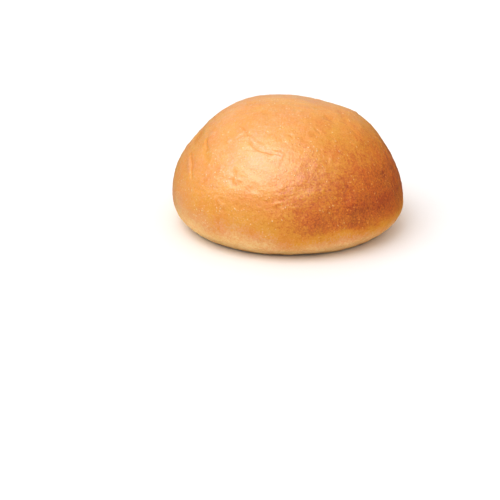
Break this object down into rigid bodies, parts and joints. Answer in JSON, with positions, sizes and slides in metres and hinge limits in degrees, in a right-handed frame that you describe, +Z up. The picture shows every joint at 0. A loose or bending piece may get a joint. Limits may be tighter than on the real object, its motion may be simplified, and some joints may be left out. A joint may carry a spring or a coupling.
{
  "type": "brioche bun",
  "caption": "Round soft bread bun with a smooth egg-washed dome, a pale skirt and a flat base to rest on.",
  "frame": {"origin": "middle of the flat base, under the middle of the bun's outline", "axes": "+Z up through the crown, -Y to the front that the camera sees, +X to the bun's right as seen from the front"},
  "size_m": [0.1002, 0.0976, 0.053],
  "materials": {
    "crust": "satin"
  },
  "bodies": {
    "root": {"bun": "crust"}
  },
  "joints": []
}
